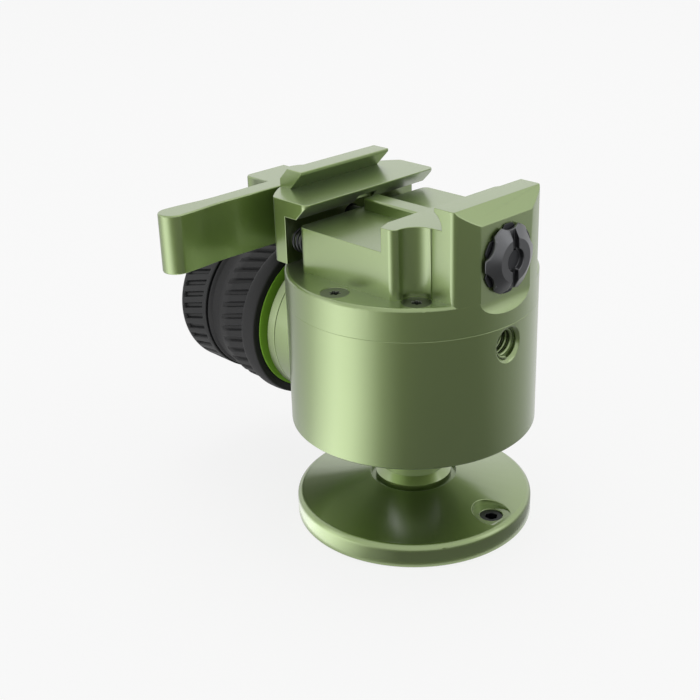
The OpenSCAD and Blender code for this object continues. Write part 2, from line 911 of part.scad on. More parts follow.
module thrust_washer() {
    color(steel)
        translate([0, 0, ball_z])
            outward(shaft_d / 2, shoe_end + slip / 2, shoe_end + slip / 2 + thrust_t);
}

module knob_shaft() {
    color(steel)
        translate([0, 0, ball_z])
            difference() {
                outward(shaft_d / 2, shaft_tip, shaft_end);
                outward(dial_shank_r, shaft_end - dial_shank_length, shaft_end + over);
            }
}

module knob_collar() {
    color(green)
        translate([0, 0, ball_z])
            difference() {
                outward(collar_d / 2, collar_a, collar_end - slip / 2);
                outward(hub_d / 2, collar_a - over, collar_end + over);
            }
}

module knob_core() {
    color(steel)
        translate([0, 0, ball_z])
            difference() {
                union() {
                    outward(hub_d / 2, hub_a, collar_end + over);
                    outward(core_d / 2, collar_end, core_end);
                }
                outward(shaft_d / 2, hub_a - over, core_end + over);
            }
}

// Grooves around a band of the knob
module knob_grooves(r, a0, a1) {
    for (i = [0:knob_ribs - 1])
        rotate([360 / knob_ribs * i, 0, 0])
            translate([0, 0, r + knob_groove_r - knob_groove_depth])
                outward(knob_groove_r, a0, a1);
}

module knob_grip() {
    rib_a = grip_a + grip_w * rib_start_share;
    rib_b = grip_a + grip_w * rib_end_share;
    shoulder_a = grip_a + grip_w * shoulder_share;
    shoulder_r = grip_waist_d / 2 + (grip_rib_d - grip_waist_d) / 2 * shoulder_rise_share;
    color(black)
        difference() {
            turned_outward()
                polygon([
                    [core_d / 2, collar_end],
                    [collar_d / 2 + fit, collar_end],
                    [collar_d / 2 + fit, grip_a],
                    [grip_face_d / 2 - grip_edge, grip_a],
                    [grip_face_d / 2, grip_a + grip_edge],
                    for (share = grip_shares)
                        [
                            grip_face_d / 2 + (grip_d - grip_face_d) / 2 * share[1],
                            grip_a + grip_w * share[0]
                        ],
                    [grip_rib_d / 2, rib_a],
                    [grip_rib_d / 2, rib_b],
                    [shoulder_r, shoulder_a],
                    [grip_waist_d / 2, grip_a + grip_w * waist_start_share],
                    [grip_waist_d / 2, grip_a + grip_w * waist_end_share],
                    [grip_end_d / 2, grip_end],
                    [core_d / 2, grip_end]
                ]);
            translate([0, 0, ball_z])
                knob_grooves(grip_rib_d / 2, rib_a + slip, shoulder_a);
        }
}

module friction_dial() {
    color(black)
        difference() {
            turned_outward()
                union() {
                    translate([dial_bore_r, dial_a])
                        square([dial_d / 2 - dial_bore_r, dial_w - dial_edge]);
                    translate([dial_bore_r, dial_a])
                        square([dial_d / 2 - dial_edge - dial_bore_r, dial_w]);
                    translate([dial_d / 2 - dial_edge, dial_end - dial_edge])
                        circle(r = dial_edge);
                }
            translate([0, 0, ball_z]) {
                outward(dial_recess_r, dial_recess_a, dial_end + over);
                knob_grooves(dial_d / 2, dial_a + dial_land, dial_end - dial_edge / 2);
            }
        }
}

module dial_screw() {
    color(dark)
        translate([0, 0, ball_z])
            difference() {
                union() {
                    outward(dial_screw_r, shaft_end + slip, shaft_end + slip + dial_screw_t);
                    outward(dial_shank_r, shaft_end - dial_shank_length + slip, shaft_end + over);
                }
                translate([-shaft_end - slip - dial_screw_t * 0.3, 0, 0])
                    rotate([0, -90, 0])
                        hex_socket(dial_socket, dial_screw_t);
            }
}

// Outline of the lobes, the first of them at an angle
module star_plan(turn) {
    difference() {
        circle(d = nut_d);
        for (i = [0:nut_lobes - 1])
            rotate(turn + 360 / nut_lobes * (i + 0.5))
                translate([nut_hollow_place, 0])
                    circle(r = nut_hollow_r);
    }
}

module star_nut() {
    color(dark)
        translate([0, 0, rod_z])
            difference() {
                union() {
                    intersection() {
                        translate([nut_x, 0, 0])
                            rotate([90, 0, 90])
                                linear_extrude(height = nut_face_x - nut_x)
                                    star_plan(nut_phase);
                        union() {
                            forward(nut_d / 2 + over, nut_x, nut_cone_x);
                            translate([nut_cone_x, 0, 0])
                                rotate([0, 90, 0])
                                    cylinder(d1 = nut_d, d2 = nut_face_d, h = nut_cone_t);
                        }
                    }
                    forward(sleeve_d / 2, flat_x - sleeve_length, nut_cone_x);
                }
                forward(rod_nut_r, flat_x - sleeve_length - over, nut_face_x + over);
                forward(nut_recess_d / 2, nut_face_x - nut_recess_depth, nut_face_x + over);
                translate([nut_face_x - nut_slot_depth, -nut_slot / 2, -nut_d])
                    cube([nut_slot_depth + over, nut_slot, nut_d * 2]);
            }
}

module nut_washer() {
    color(black)
        translate([0, 0, rod_z])
            difference() {
                translate([washer_x, 0, 0])
                    rotate([90, 0, 90])
                        linear_extrude(height = nut_washer_t)
                            star_plan(nut_phase + 180 / nut_lobes);
                forward(sleeve_d / 2 + slip, washer_x - over, washer_x + nut_washer_t + over);
            }
}

module tie_rod() {
    color(dark)
        translate([0, 0, rod_z])
            forward(rod_d / 2, -pivot_x - rod_reach, rod_tip);
}

module pivot_pin() {
    color(steel)
        difference() {
            translate([-pivot_x, 0, 0])
                disc(pin_r, pin_z, pin_end);
            translate([0, 0, rod_z])
                forward(rod_d / 2, -pivot_x - pivot_d, -pivot_x + pivot_d);
        }
}

module lever_plan() {
    translate([-cam_x, cam_y])
        circle(r = cam_r);
    translate([-root_left, -root_end + root_r])
        square([root_left - arm_in, root_end - root_r + root_top]);
    translate([-root_left + root_r, -root_end])
        square([root_left - root_r - arm_in, root_end]);
    translate([-root_left + root_r, -root_end + root_r])
        circle(r = root_r);
    polygon([
        [-arm_in, -root_end + over],
        [-arm_out, -root_end + over],
        [-arm_out, -root_end],
        for (share = arm_shares)
            [
                -waist_out - (bulb_in + bulb_t - waist_out) * (1 - cos(180 * share)) / 2,
                -waist_y - (bulb_y - waist_y) * share
            ],
        for (share = arm_shares)
            [
                -bulb_in - (waist_in - bulb_in) * (1 - cos(180 * share)) / 2,
                -bulb_y - (waist_y - bulb_y) * share
            ],
        [-arm_in, -root_end]
    ]);
    translate([-bulb_x, -bulb_y])
        circle(r = bulb_r);
}

module lever() {
    color(green)
        difference() {
            translate([0, 0, lever_z])
                linear_extrude(height = lever_h)
                    lever_plan();
            translate([-pivot_x, 0, 0])
                disc(pin_bore_r, lever_z - over, lever_top - pin_cover);
            translate([-pivot_x, 0, rod_z - slot_half])
                linear_extrude(height = slot_half * 2)
                    union() {
                        circle(r = slot_half);
                        for (turn = [0, lever_open])
                            rotate(turn)
                                translate([0, -slot_half])
                                    square([slot_reach, slot_half * 2]);
                        intersection() {
                            circle(r = slot_reach);
                            polygon([
                                [0, 0],
                                [slot_reach, 0],
                                [slot_reach, slot_reach * 1.5],
                                [0, slot_reach * 1.5],
                                [slot_reach * 2 * cos(lever_open), slot_reach * 2 * sin(lever_open)]
                            ]);
                        }
                    }
        }
}

// Outline of the moving jaw's lower part, seen from above
module jaw_plan() {
    translate([-jaw_out, 0])
        intersection() {
            circle(r = housing_r);
            polygon([
                [0, 0],
                [-jaw_corner_x * wedge_share, jaw_corner_y * wedge_share],
                [-jaw_corner_x * wedge_share, -jaw_corner_y * wedge_share]
            ]);
        }
    translate([-jaw_corner_x - jaw_out, -clamp_half])
        square([jaw_corner_x + jaw_out - nose_x - corner_r, clamp_half * 2]);
    translate([-jaw_corner_x - jaw_out, -jaw_corner_y])
        square([jaw_corner_x + jaw_out - nose_x, jaw_corner_y * 2]);
    for (side = [-1, 1]) {
        translate([-jaw_corner_x - jaw_out, side * jaw_corner_y])
            circle(r = corner_r);
        translate([-nose_x - corner_r, side * jaw_corner_y])
            circle(r = corner_r);
    }
}

module moving_jaw() {
    color(green)
        difference() {
            union() {
                intersection() {
                    translate([0, 0, web_z])
                        linear_extrude(height = tier_z - web_z)
                            jaw_plan();
                    along_groove(clamp_half + over)
                        polygon([
                            [-web_right, web_z - over],
                            [-web_right, under_z],
                            [-under_left, under_z],
                            [-nose_x, under_z + under_left - nose_x],
                            [-nose_x, tier_z + over],
                            [-jaw_flat_x, tier_z + over],
                            [-jaw_flat_x, web_z - over]
                        ]);
                }
                along_groove(lip_half)
                    polygon([
                        [-lip_tip_x, tier_z - over],
                        [-lip_tip_x, lip_tip_z],
                        [-lip_nose_x, lip_nose_z],
                        [-lip_nose_x, lip_top],
                        [-lip_left + lip_bevel, lip_top],
                        [-lip_left, lip_top - lip_bevel],
                        [-lip_left, tier_z - over]
                    ]);
            }
            translate([-notch_left, -rib_half - rib_play, web_z])
                cube([
                    notch_left,
                    (rib_half + rib_play) * 2,
                    floor_z + rib_h + rib_play - web_z
                ]);
            translate([0, 0, rod_z])
                outward(rod_bore_r, web_right - over, jaw_flat_x + over);
            for (side = [-1, 1])
                translate([0, side * guide_y, guide_z])
                    outward(guide_d / 2, web_right - over, guide_end);
        }
}

module guide_rods() {
    color(steel)
        for (side = [-1, 1])
            translate([0, side * guide_y, guide_z])
                outward(guide_d / 2, guide_tip, guide_end);
}

// One point of a spring's middle line, for a share of all its turns
function spring_point(turn) = [
    spring_end + spring_wire / 2 + spring_pitch * turn,
    spring_d / 2 * cos(360 * turn),
    spring_d / 2 * sin(360 * turn)
];
spring_path = [for (i = [0:spring_steps * spring_turns]) spring_point(i / spring_steps)];
spring_gap = min([for (i = [0:spring_steps * (spring_turns - 1)])
    norm(spring_path[i + spring_steps] - spring_path[i])]) - spring_wire;
echo(least_gap_between_spring_turns = spring_gap);

// Tube of a few sides along a path that winds around X
module coil(path, r, sides) {
    count = len(path);
    points = [for (i = [0:count - 1])
        let (angle = atan2(path[i][2], path[i][1]))
        for (k = [0:sides - 1])
            let (turn = 360 / sides * k)
            path[i] + r * [
                cos(turn),
                sin(turn) * cos(angle),
                sin(turn) * sin(angle)
            ]];
    walls = [for (i = [0:count - 2])
        for (k = [0:sides - 1])
            let (a = i * sides + k, b = i * sides + (k + 1) % sides)
            each [[a, a + sides, b], [b, a + sides, b + sides]]];
    first = [for (k = [1:sides - 2]) [0, k, k + 1]];
    last_ring = (count - 1) * sides;
    last = [for (k = [1:sides - 2]) [last_ring, last_ring + k + 1, last_ring + k]];
    polyhedron(points = points, faces = concat(walls, first, last));
}

module return_springs() {
    color(steel)
        for (side = [-1, 1])
            translate([0, side * guide_y, guide_z])
                mirror([1, 0, 0])
                    coil(spring_path, spring_wire / 2, spring_sides);
}

foot_plate();
stem();
foot_set_screw();
ball();
lower_seat();
upper_seat();
spring_washer();
housing();
boss_ring();
clamp_base();
clamp_screws();
brake_shoe();
thrust_washer();
knob_shaft();
knob_collar();
knob_core();
knob_grip();
friction_dial();
dial_screw();
star_nut();
nut_washer();
tie_rod();
pivot_pin();
lever();
moving_jaw();
guide_rods();
return_springs();
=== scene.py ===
"""Looks of a ball head: olive anodised aluminium, a rubber knob and a lever clamp.

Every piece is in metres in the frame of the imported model. Sizes in the
classes below are in millimetres and go through mm() before they reach a mesh.
"""

import json
import logging
import math
from collections.abc import Callable, Sequence
from dataclasses import dataclass, field
from enum import Enum

import bmesh
import bpy
from mathutils import Matrix, Vector
from mathutils.bvhtree import BVHTree

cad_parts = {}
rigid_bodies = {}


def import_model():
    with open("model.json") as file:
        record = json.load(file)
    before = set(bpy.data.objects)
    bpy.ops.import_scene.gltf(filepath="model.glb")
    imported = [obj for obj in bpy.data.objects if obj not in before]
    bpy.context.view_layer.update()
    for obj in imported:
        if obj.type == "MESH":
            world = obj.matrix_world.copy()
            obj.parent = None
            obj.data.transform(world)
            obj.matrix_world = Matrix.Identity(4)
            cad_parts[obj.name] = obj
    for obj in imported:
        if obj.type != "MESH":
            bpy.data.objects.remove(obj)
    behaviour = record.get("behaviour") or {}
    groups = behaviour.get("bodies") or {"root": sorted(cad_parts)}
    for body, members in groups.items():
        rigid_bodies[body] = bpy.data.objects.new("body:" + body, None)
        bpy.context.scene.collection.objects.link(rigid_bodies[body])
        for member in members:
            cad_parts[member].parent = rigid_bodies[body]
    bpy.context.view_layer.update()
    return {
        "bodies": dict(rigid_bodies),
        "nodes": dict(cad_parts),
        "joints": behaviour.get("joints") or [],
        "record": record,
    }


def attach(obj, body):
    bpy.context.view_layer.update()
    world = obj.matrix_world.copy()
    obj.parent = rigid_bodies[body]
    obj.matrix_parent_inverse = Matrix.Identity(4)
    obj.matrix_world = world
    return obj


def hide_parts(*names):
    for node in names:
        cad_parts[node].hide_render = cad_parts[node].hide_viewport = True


LOG = logging.getLogger("ball_head")
FULL_TURN = 2 * math.pi
# Vertices closer than this become one, in millimetres
WELD = 0.002
# Faces that meet at less than this become one, in degrees
FLAT = 0.6
# Edges flatter than this are shaded smooth, in degrees
SMOOTH = 50
# Faces across a broken edge
BEVEL_STEPS = 2
# Half height of a thread's ridge in pitches, and of its flat crest in ridges
RIDGE_HALF = 0.44
CREST_FLAT = 0.2
# Gap between a thread's ridge and its bore, in millimetres
THREAD_GAP = 0.01


def mm(value: float) -> float:
    """Turns millimetres into metres."""
    return value * 0.001


def per_mm(size: float) -> float:
    """Texture scale at which one feature of a pattern is this many millimetres wide."""
    return 1000.0 / size


def linear(shade: str) -> tuple[float, float, float, float]:
    """Turns an sRGB hex colour into the linear colour that a shader socket takes.

    Args:
        shade: Six hex digits, red first.

    Returns:
        Linear red, green, blue and an alpha of one.
    """
    parts = [int(shade[i : i + 2], 16) / 255 for i in (0, 2, 4)]
    toned = [p / 12.92 if p <= 0.04045 else ((p + 0.055) / 1.055) ** 2.4 for p in parts]
    return (toned[0], toned[1], toned[2], 1.0)


def thread_section(
    diameter: float, pitch: float, crest_share: float
) -> list[tuple[float, float]]:
    """Gives the corners of a thread's ridge as radius and height, in millimetres.

    Args:
        diameter: Diameter of the bore, in millimetres.
        pitch: Advance of one turn, in millimetres.
        crest_share: Radius of the crest as a share of the root's radius.

    Returns:
        Four corners, from the root over the crest and back.
    """
    root = diameter / 2 - THREAD_GAP
    crest = root * crest_share
    half = pitch * RIDGE_HALF
    flat = half * CREST_FLAT
    return [(root, -half), (crest, -flat), (crest, flat), (root, half)]


def empty_tree(owner: bpy.types.Material | bpy.types.World) -> bpy.types.NodeTree:
    """Turns on the nodes of a material or a world and clears them."""
    owner.use_nodes = True
    owner.node_tree.nodes.clear()
    return owner.node_tree


def add_node(
    tree: bpy.types.NodeTree,
    kind: str,
    settings: dict[str, object] | None = None,
    values: dict[str | int, object] | None = None,
    links: dict[str | int, bpy.types.NodeSocket] | None = None,
) -> bpy.types.Node:
    """Adds one shader node with its settings, its own socket values and its links.

    Args:
        tree: The node tree that gets the node.
        kind: Blender's name of the node's type.
        settings: Properties of the node itself.
        values: Constants for its input sockets.
        links: Output sockets that feed its input sockets.

    Returns:
        The new node.
    """
    made = tree.nodes.new(kind)
    for key, value in (settings or {}).items():
        setattr(made, key, value)
    for key, value in (values or {}).items():
        made.inputs[key].default_value = value
    for key, socket in (links or {}).items():
        tree.links.new(socket, made.inputs[key])
    return made


class Slot(Enum):
    """Material slots of the record."""

    ANODISED = "anodised"
    BLACK_STEEL = "black_steel"
    STEEL = "steel"
    RUBBER = "rubber"
    RUBBER_DIAL = "rubber_dial"
    NUT = "nut"


class Along(Enum):
    """Axes around which a piece is turned, each outward from the ball."""

    UP = (0.0, 0.0, 1.0)
    KNOB = (-1.0, 0.0, 0.0)
    NUT = (1.0, 0.0, 0.0)


@dataclass(frozen=True)
class Finish:
    """A finish of two close shades, with a grain and a roughness that wanders."""

    name: str
    shade: str
    shade_other: str
    metallic: float
    rough_low: float
    rough_high: float
    grain_mm: float
    grain_height_mm: float
    cloud_mm: float = 22.0
    coat: float = 0.0
    coat_rough: float = 0.3
    coat_ior: float = 1.6
    sheen: float = 0.0
    ior: float = 1.5
    turned: bool = False

    def make(self) -> bpy.types.Material:
        """Builds the node tree once and gives the material."""
        known = bpy.data.materials.get(self.name)
        if known:
            return known
        material = bpy.data.materials.new(self.name)
        tree = empty_tree(material)
        place = add_node(tree, "ShaderNodeTexCoord").outputs["Object"]
        cloud = add_node(
            tree,
            "ShaderNodeTexNoise",
            values={"Scale": per_mm(self.cloud_mm), "Detail": 3.0, "Roughness": 0.5},
            links={"Vector": place},
        )
        tone = add_node(
            tree,
            "ShaderNodeMix",
            settings={"data_type": "RGBA"},
            values={6: linear(self.shade), 7: linear(self.shade_other)},
            links={0: cloud.outputs["Fac"]},
        )
        grain_place = self.turned_place(tree, place) if self.turned else place
        grain = add_node(
            tree,
            "ShaderNodeTexNoise",
            values={"Scale": per_mm(self.grain_mm), "Detail": 4.0, "Roughness": 0.6},
            links={"Vector": grain_place},
        )
        rough = add_node(
            tree,
            "ShaderNodeMapRange",
            values={"To Min": self.rough_low, "To Max": self.rough_high},
            links={"Value": grain.outputs["Fac"]},
        )
        bump = add_node(
            tree,
            "ShaderNodeBump",
            values={"Strength": 1.0, "Distance": mm(self.grain_height_mm)},
            links={"Height": grain.outputs["Fac"]},
        )
        constants = {
            "Metallic": self.metallic,
            "Coat Weight": self.coat,
            "Coat Roughness": self.coat_rough,
            "Coat IOR": self.coat_ior,
            "Sheen Weight": self.sheen,
            "Sheen Roughness": 0.4,
        }
        # The metals keep the shader's own value
        if self.metallic < 0.5:
            constants["IOR"] = self.ior
        shader = add_node(
            tree,
            "ShaderNodeBsdfPrincipled",
            values=constants,
            links={
                "Base Color": tone.outputs[2],
                "Roughness": rough.outputs["Result"],
                "Normal": bump.outputs["Normal"],
            },
        )
        add_node(
            tree, "ShaderNodeOutputMaterial", links={"Surface": shader.outputs["BSDF"]}
        )
        return material

    def turned_place(
        self, tree: bpy.types.NodeTree, place: bpy.types.NodeSocket
    ) -> bpy.types.NodeSocket:
        """Turns a place into its radius and height, so that the grain runs round Z.

        Args:
            tree: The material's node tree.
            place: Object coordinates.

        Returns:
            A vector of radius, nothing and height.
        """
        parts = add_node(tree, "ShaderNodeSeparateXYZ", links={"Vector": place})
        flat = add_node(
            tree,
            "ShaderNodeCombineXYZ",
            links={"X": parts.outputs["X"], "Y": parts.outputs["Y"]},
        )
        radius = add_node(
            tree,
            "ShaderNodeVectorMath",
            settings={"operation": "LENGTH"},
            links={0: flat.outputs["Vector"]},
        )
        return add_node(
            tree,
            "ShaderNodeCombineXYZ",
            links={"X": radius.outputs["Value"], "Z": parts.outputs["Z"]},
        ).outputs["Vector"]


# Anodised aluminium, blasted with fine bead and dyed olive: a satin metal whose
# clear oxide layer turns pale where it is seen at a low angle. The bead's grain
# of 0.05 mm is too fine to show, so it is drawn at 0.4 mm.
OLIVE_BLASTED = Finish(
    "anodised_aluminium_blasted",
    "7A914A",
    "758C45",
    metallic=1.0,
    rough_low=0.38,
    rough_high=0.48,
    grain_mm=0.4,
    grain_height_mm=0.004,
    coat=1.0,
    coat_rough=0.22,
    coat_ior=2.1,
    sheen=0.12,
)
# The collar's matt anodised aluminium. Its olive is painted brighter and greener than
# the other olive parts, as painted bounce light from its narrow gap; being matt, it
# takes its light from all sides there.
OLIVE_MATT_PAINTED_LIGHT = Finish(
    "anodised_aluminium_matt_painted_light",
    "8CC23C",
    "86BB38",
    metallic=0.35,
    rough_low=0.5,
    rough_high=0.58,
    grain_mm=0.4,
    grain_height_mm=0.004,
)
# The blasted metal's olive on lathe work, where the tool's faint rings of 0.25 mm
# stay under the dye.
OLIVE_TURNED = Finish(
    "anodised_aluminium_turned",
    "7A914A",
    "758C45",
    metallic=1.0,
    rough_low=0.36,
    rough_high=0.46,
    grain_mm=0.25,
    grain_height_mm=0.0025,
    coat=1.0,
    coat_rough=0.2,
    coat_ior=2.1,
    sheen=0.12,
    turned=True,
)
# Moulded rubber: a dull black skin with a dry bloom, and fine mould texture.
RUBBER = Finish(
    "moulded_rubber",
    "19191A",
    "1F1F20",
    metallic=0.0,
    rough_low=0.5,
    rough_high=0.62,
    grain_mm=0.5,
    grain_height_mm=0.02,
    cloud_mm=9.0,
    sheen=0.03,
    ior=1.38,
)
# Glass filled polyamide: harder and a little glossier than the rubber beside it.
DIAL_POLYAMIDE = Finish(
    "moulded_polyamide",
    "161718",
    "1B1C1D",
    metallic=0.0,
    rough_low=0.38,
    rough_high=0.5,
    grain_mm=0.4,
    grain_height_mm=0.012,
    cloud_mm=7.0,
    ior=1.4,
)
# Black oxide on steel: a dark satin metal with a slight oily unevenness.
BLACK_OXIDE = Finish(
    "black_oxide_steel",
    "4C4D4F",
    "3E3F42",
    metallic=1.0,
    rough_low=0.3,
    rough_high=0.45,
    grain_mm=0.3,
    grain_height_mm=0.004,
    cloud_mm=3.0,
)
# Phosphated screws: a greyer steel, so that the recess in the head stays the darkest.
SCREW_STEEL = Finish(
    "phosphated_steel",
    "7F847A",
    "757A70",
    metallic=1.0,
    rough_low=0.3,
    rough_high=0.42,
    grain_mm=0.25,
    grain_height_mm=0.003,
    cloud_mm=2.5,
)
# Hard anodised nut: dark grey and smoother than the green parts.
NUT_GREY = Finish(
    "hard_anodised_aluminium",
    "646567",
    "5A5B5D",
    metallic=1.0,
    rough_low=0.3,
    rough_high=0.4,
    grain_mm=0.35,
    grain_height_mm=0.003,
    cloud_mm=5.0,
    coat=0.4,
)
# Ground and polished ball: hard chrome with the faintest ripple.
BALL_CHROME = Finish(
    "polished_chrome",
    "C9CACC",
    "BFC0C3",
    metallic=1.0,
    rough_low=0.08,
    rough_high=0.14,
    grain_mm=1.2,
    grain_height_mm=0.0005,
)
# Drawn stainless steel wire and pins, with fine lines along them.
BRIGHT_STEEL = Finish(
    "drawn_stainless_steel",
    "B4B5B7",
    "A5A6A9",
    metallic=1.0,
    rough_low=0.25,
    rough_high=0.36,
    grain_mm=0.3,
    grain_height_mm=0.002,
    cloud_mm=4.0,
)
# Machined acetal: a waxy off-white plastic.
ACETAL = Finish(
    "machined_acetal",
    "DEDCD0",
    "D5D3C6",
    metallic=0.0,
    rough_low=0.32,
    rough_high=0.44,
    grain_mm=0.3,
    grain_height_mm=0.004,
    ior=1.48,
    turned=True,
)
# Turned brass of the brake shoe, slightly dulled by handling.
BRASS = Finish(
    "turned_brass",
    "C9A75A",
    "B8964C",
    metallic=1.0,
    rough_low=0.25,
    rough_high=0.4,
    grain_mm=0.3,
    grain_height_mm=0.003,
    cloud_mm=4.0,
)


class Bench:
    """The bench on which one mesh at a time is worked with Blender's operators."""

    @staticmethod
    def take(obj: bpy.types.Object) -> None:
        """Leaves edit mode and makes one object the only one selected."""
        if bpy.context.mode != "OBJECT":
            bpy.ops.object.mode_set(mode="OBJECT")
        bpy.ops.object.select_all(action="DESELECT")
        obj.select_set(True)
        bpy.context.view_layer.objects.active = obj

    @staticmethod
    def edit(obj: bpy.types.Object, everything: bool = True) -> None:
        """Opens an object in edit mode with all or none of it selected."""
        Bench.take(obj)
        bpy.ops.object.mode_set(mode="EDIT")
        bpy.ops.mesh.select_mode(type="VERT")
        bpy.ops.mesh.select_all(action="SELECT" if everything else "DESELECT")

    @staticmethod
    def close() -> None:
        """Goes back to object mode."""
        bpy.ops.object.mode_set(mode="OBJECT")

    @staticmethod
    def pick(obj: bpy.types.Object, test: Callable[[Vector], bool]) -> None:
        """Opens an object in edit mode and selects the vertices that pass a test.

        Args:
            obj: The object to edit.
            test: Takes a place in metres and says whether its vertex is wanted.
        """
        Bench.edit(obj, everything=False)
        Bench.close()
        for vertex in obj.data.vertices:
            vertex.select = test(vertex.co)
        bpy.ops.object.mode_set(mode="EDIT")

    @staticmethod
    def outline(name: str, points: Sequence[Vector], closed: bool) -> bpy.types.Object:
        """Draws a line from point to point by extruding one vertex.

        Args:
            name: Name of the new object.
            points: The line's points, in metres.
            closed: Joins the last point to the first.

        Returns:
            An object whose mesh is that line.
        """
        bpy.ops.object.select_all(action="DESELECT")
        bpy.ops.mesh.primitive_plane_add(size=mm(1), location=points[0])
        obj = bpy.context.object
        obj.name = name
        obj.data.name = name
        Bench.edit(obj)
        bpy.ops.mesh.merge(type="CENTER")
        for a, b in zip(points, points[1:]):
            bpy.ops.mesh.extrude_vertices_move(
                TRANSFORM_OT_translate={"value": tuple(b - a)}
            )
        Bench.close()
        bpy.ops.object.transform_apply(location=True, rotation=True, scale=True)
        if closed:
            ends = (points[0], points[-1])
            Bench.pick(
                obj, lambda p: min((p - end).length for end in ends) < mm(WELD / 2)
            )
            bpy.ops.mesh.edge_face_add()
            Bench.close()
        return obj

    @staticmethod
    def spin(obj: bpy.types.Object, steps: int, centre: Vector, axis: Vector) -> None:
        """Spins a line one full turn around an axis and welds where it meets itself.

        Args:
            obj: The object whose mesh is the line.
            steps: Facets around the axis.
            centre: A point on the axis, in metres.
            axis: Direction of the axis.
        """
        Bench.edit(obj)
        bpy.ops.mesh.spin(
            steps=steps, angle=FULL_TURN, center=tuple(centre), axis=tuple(axis)
        )
        bpy.ops.mesh.select_all(action="SELECT")
        bpy.ops.mesh.remove_doubles(threshold=mm(WELD))
        bpy.ops.mesh.normals_make_consistent(inside=False)
        Bench.close()

    @staticmethod
    def lathe(
        name: str,
        profile: Sequence[tuple[float, float]],
        centre: Vector,
        steps: int,
    ) -> bpy.types.Object:
        """Spins a closed outline around the knob's axis into a turned body.

        Args:
            name: Name of the new object.
            profile: Radius and place along the axis of each corner, in millimetres.
            centre: A point on the axis, in metres.
            steps: Facets around the body.

        Returns:
            The turned body, closed and with its faces outward.
        """
        axis = Vector(Along.KNOB.value)
        out = Vector(Along.UP.value)
        points = [centre + out * mm(r) + axis * mm(a) for r, a in profile]
        obj = Bench.outline(name, points, closed=True)
        Bench.spin(obj, steps, centre, axis)
        return obj

    @staticmethod
    def helix(
        name: str,
        section: Sequence[tuple[float, float]],
        pitch: float,
        turns: float,
        start: Vector,
        along: Along,
        steps: int,
    ) -> bpy.types.Object:
        """Winds a closed section into a screw thread or a spring.

        Args:
            name: Name of the new object.
            section: Radius and place along the axis of each corner, in millimetres.
            pitch: Advance of one turn, in millimetres.
            turns: Number of turns.
            start: Where the axis starts, in metres.
            along: Direction of the axis.
            steps: Facets in one turn.

        Returns:
            The wound body with both ends closed.
        """
        points = [Vector((mm(r), 0, mm(a))) for r, a in section]
        obj = Bench.outline(name, points, closed=True)
        Bench.take(obj)
        bpy.context.scene.cursor.location = (0, 0, 0)
        bpy.ops.object.origin_set(type="ORIGIN_CURSOR")
        screw = obj.modifiers.new("wind", "SCREW")
        screw.axis = "Z"
        screw.angle = FULL_TURN * turns
        screw.screw_offset = mm(pitch * turns)
        screw.steps = int(steps * turns)
        screw.render_steps = screw.steps
        bpy.ops.object.modifier_apply(modifier=screw.name)
        Bench.edit(obj)
        bpy.ops.mesh.remove_doubles(threshold=mm(WELD))
        bpy.ops.mesh.fill_holes(sides=0)
        bpy.ops.mesh.normals_make_consistent(inside=False)
        Bench.close()
        turn = Vector(Along.UP.value).rotation_difference(Vector(along.value))
        obj.matrix_world = Matrix.Translation(start) @ turn.to_matrix().to_4x4()
        bpy.context.view_layer.update()
        Bench.take(obj)
        bpy.ops.object.transform_apply(location=True, rotation=True, scale=True)
        return obj

    @staticmethod
    def outer_edges(obj: bpy.types.Object) -> set[int]:
        """Gives the numbers of the edges where the surface turns outward."""
        probe = bmesh.new()
        probe.from_mesh(obj.data)
        found = {edge.index for edge in probe.edges if edge.is_convex}
        probe.free()
        return found

    @staticmethod
    def skin(obj: bpy.types.Object) -> BVHTree:
        """Gives an object's surface as a tree that finds the nearest place on it."""
        mesh = obj.data
        mesh.calc_loop_triangles()
        return BVHTree.FromPolygons(
            [vertex.co.copy() for vertex in mesh.vertices],
            [tuple(triangle.vertices) for triangle in mesh.loop_triangles],
        )

    @staticmethod
    def round_edges(
        obj: bpy.types.Object,
        width: float,
        angle: float = 30,
        crisp: float = 14,
        spare: Callable[[Vector], bool] | None = None,
    ) -> None:
        """Rounds the sharp outer edges and smooths the faces between them.

        Args:
            obj: The object to finish.
            width: Width of the rounding, in millimetres.
            angle: Least angle of an edge that is rounded, in degrees.
            crisp: Least angle of an edge that stays a line, in degrees.
            spare: Takes a place and says whether the edges there stay lines.
        """
        Bench.edit(obj, everything=False)
        bpy.ops.mesh.select_mode(type="EDGE")
        bpy.ops.mesh.edges_select_sharp(sharpness=math.radians(crisp))
        bpy.ops.mesh.mark_sharp()
        bpy.ops.mesh.select_all(action="DESELECT")
        bpy.ops.mesh.edges_select_sharp(sharpness=math.radians(angle))
        Bench.close()
        outer = Bench.outer_edges(obj)
        for edge in obj.data.edges:
            ends = [obj.data.vertices[i].co for i in edge.vertices]
            spared = spare is not None and any(spare(end) for end in ends)
            edge.select = edge.select and edge.index in outer and not spared
        # Faces and vertices that stay selected would bring their edges back
        for part in (*obj.data.polygons, *obj.data.vertices):
            part.select = False
        bpy.ops.object.mode_set(mode="EDIT")
        bpy.ops.mesh.mark_sharp(clear=True)
        bpy.ops.transform.edge_bevelweight(value=1)
        Bench.close()
        skin = Bench.skin(obj)
        bevel = obj.modifiers.new("edges", "BEVEL")
        bevel.limit_method = "WEIGHT"
        bevel.width = mm(width)
        bevel.segments = BEVEL_STEPS
        bevel.use_clamp_overlap = False
        bevel.miter_outer = "MITER_ARC"
        bpy.ops.object.modifier_apply(modifier=bevel.name)
